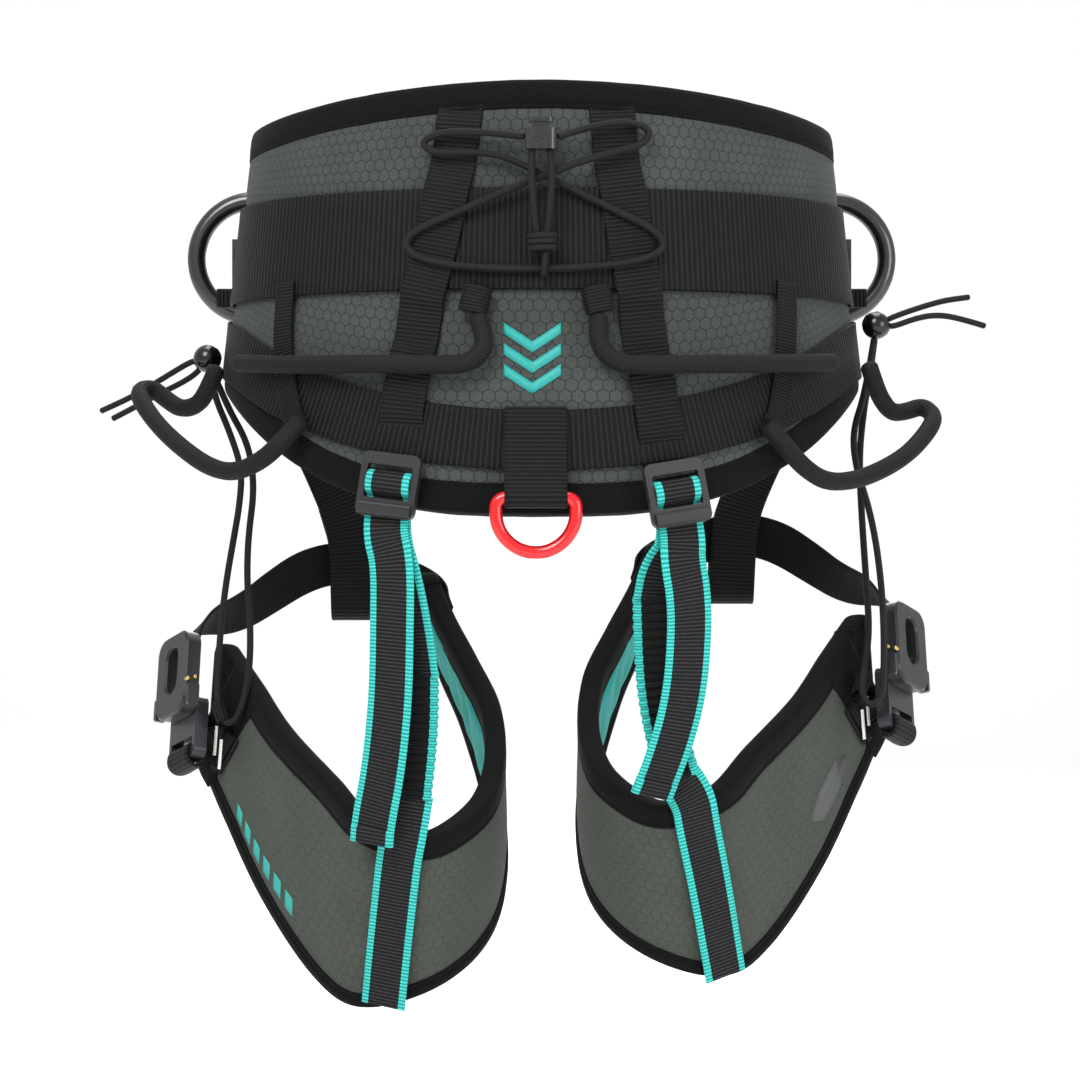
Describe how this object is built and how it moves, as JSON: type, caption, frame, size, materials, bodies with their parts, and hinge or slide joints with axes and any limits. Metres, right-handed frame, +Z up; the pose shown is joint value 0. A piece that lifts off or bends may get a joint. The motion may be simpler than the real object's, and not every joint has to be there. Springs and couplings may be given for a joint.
{
  "type": "climbing harness",
  "caption": "Tree climbing harness with a padded waist belt, leg loops on webbing risers, side and rear rings, gear loops and elastic lacing.",
  "frame": {"origin": "middle of the waist opening, level with the middle of the main waist webbing", "axes": "+Z up through the waist opening, -Y towards the wearer's back, +X towards the wearer's right"},
  "size_m": [0.5052, 0.2718, 0.5028],
  "materials": {
    "grey_fabric": "matte ripstop",
    "foam": "closed cell",
    "mesh_lining": "knitted mesh",
    "black_binding": "brushed tape",
    "black_webbing": "ribbed weave",
    "turquoise_edged_webbing": "ribbed weave",
    "turquoise_lining": "knitted mesh",
    "black_cord": "braided",
    "gear_tube": "braided sheath",
    "black_plastic": "moulded",
    "red_ring": "anodised",
    "black_ring": "anodised",
    "buckle_metal": "anodised",
    "brass_pins": "polished"
  },
  "bodies": {
    "waist": {"waist_pad_shell": "grey_fabric", "waist_pad_foam": "foam", "waist_pad_lining": "mesh_lining", "waist_binding": "black_binding", "waist_webbing": "black_webbing", "hip_webbing": "black_webbing", "back_strap_left": "black_webbing", "back_strap_right": "black_webbing", "ladder_lock_left": "black_plastic", "ladder_lock_right": "black_plastic", "rear_ring_tab": "black_webbing", "webbing_loops": "black_webbing", "lacing_cord": "black_cord", "lacing_toggle": "black_plastic", "gear_loop_rear_left": "gear_tube", "gear_loop_rear_right": "gear_tube", "gear_loop_side_left": "gear_tube", "gear_loop_side_right": "gear_tube", "wing_tabs": "grey_fabric", "front_belt_left": "black_webbing", "front_belt_right": "black_webbing", "front_buckle_frame": "buckle_metal", "front_buckle_tongue": "buckle_metal", "hip_bead_left": "black_plastic", "hip_bead_right": "black_plastic", "hip_tails_left": "black_cord", "hip_tails_right": "black_cord", "riser_left": "turquoise_edged_webbing", "riser_right": "turquoise_edged_webbing", "riser_elastic_left": "turquoise_edged_webbing", "riser_elastic_right": "turquoise_edged_webbing", "leg_hanger_left": "black_webbing", "leg_hanger_right": "black_webbing", "leg_cord_left": "black_cord", "leg_cord_right": "black_cord"},
    "rear_ring": {"rear_ring": "red_ring"},
    "side_ring_left": {"side_ring_left": "black_ring"},
    "side_ring_right": {"side_ring_right": "black_ring"},
    "front_ring_left": {"front_ring_left": "black_ring"},
    "front_ring_right": {"front_ring_right": "black_ring"},
    "lacing_button": {"lacing_button": "black_plastic"},
    "leg_left": {"leg_pad_shell_left": "grey_fabric", "leg_pad_liner_left": "turquoise_lining", "leg_binding_left": "black_binding", "leg_strap_left": "black_webbing", "leg_buckle_plate_left": "buckle_metal", "leg_buckle_frame_left": "buckle_metal", "leg_buckle_tab_left": "black_webbing", "riser_strip_left": "turquoise_edged_webbing"},
    "leg_right": {"leg_pad_shell_right": "grey_fabric", "leg_pad_liner_right": "turquoise_lining", "leg_binding_right": "black_binding", "leg_strap_right": "black_webbing", "leg_buckle_plate_right": "buckle_metal", "leg_buckle_frame_right": "buckle_metal", "leg_buckle_tab_right": "black_webbing", "riser_strip_right": "turquoise_edged_webbing"},
    "gates_left": {"leg_buckle_gates_left": "brass_pins"},
    "gates_right": {"leg_buckle_gates_right": "brass_pins"}
  },
  "joints": [
    {"name": "rear_ring_swing", "type": "hinge", "parent": "waist", "child": "rear_ring", "pos_m": [-0.00313, -0.14646, -0.138], "axis": [1, 0, 0], "range_deg": [-110, 8]},
    {"name": "side_ring_left_swing", "type": "hinge", "parent": "waist", "child": "side_ring_left", "pos_m": [-0.14345, 0.06992, 0.007], "axis": [0, 0, 1], "range_deg": [-75, 2]},
    {"name": "side_ring_right_swing", "type": "hinge", "parent": "waist", "child": "side_ring_right", "pos_m": [0.14345, 0.06992, 0.007], "axis": [0, 0, 1], "range_deg": [-2, 75]},
    {"name": "front_ring_left_swing", "type": "hinge", "parent": "waist", "child": "front_ring_left", "pos_m": [-0.12914, 0.09136, -0.052], "axis": [0, 0, 1], "range_deg": [-35, 35]},
    {"name": "front_ring_right_swing", "type": "hinge", "parent": "waist", "child": "front_ring_right", "pos_m": [0.12914, 0.09136, -0.052], "axis": [0, 0, 1], "range_deg": [-35, 35]},
    {"name": "lacing_button_press", "type": "slide", "parent": "waist", "child": "lacing_button", "axis": [0, 0, -1], "range_m": [0, 0.003], "stiffness_N_per_m": 200, "springref_m": -0.001},
    {"name": "leg_left_swing", "type": "hinge", "parent": "waist", "child": "leg_left", "pos_m": [-0.105, -0.023, -0.12], "axis": [1, 0, 0], "range_deg": [-12, 25], "deforming": ["riser_left", "riser_elastic_left", "leg_hanger_left", "leg_cord_left"]},
    {"name": "leg_right_swing", "type": "hinge", "parent": "waist", "child": "leg_right", "pos_m": [0.105, -0.023, -0.12], "axis": [1, 0, 0], "range_deg": [-12, 25], "deforming": ["riser_right", "riser_elastic_right", "leg_hanger_right", "leg_cord_right"]},
    {"name": "gates_left_press", "type": "hinge", "parent": "leg_left", "child": "gates_left", "pos_m": [-0.20884, 0.0007, -0.25291], "axis": [0.5395, -0.7925, 0.2845], "range_deg": [0, 20], "stiffness_Nm_per_rad": 0.02, "springref_deg": -2.86},
    {"name": "gates_right_press", "type": "hinge", "parent": "leg_right", "child": "gates_right", "pos_m": [0.20884, 0.0007, -0.23591], "axis": [0.5395, 0.7925, -0.2845], "range_deg": [0, 20], "stiffness_Nm_per_rad": 0.02, "springref_deg": -2.86}
  ]
}
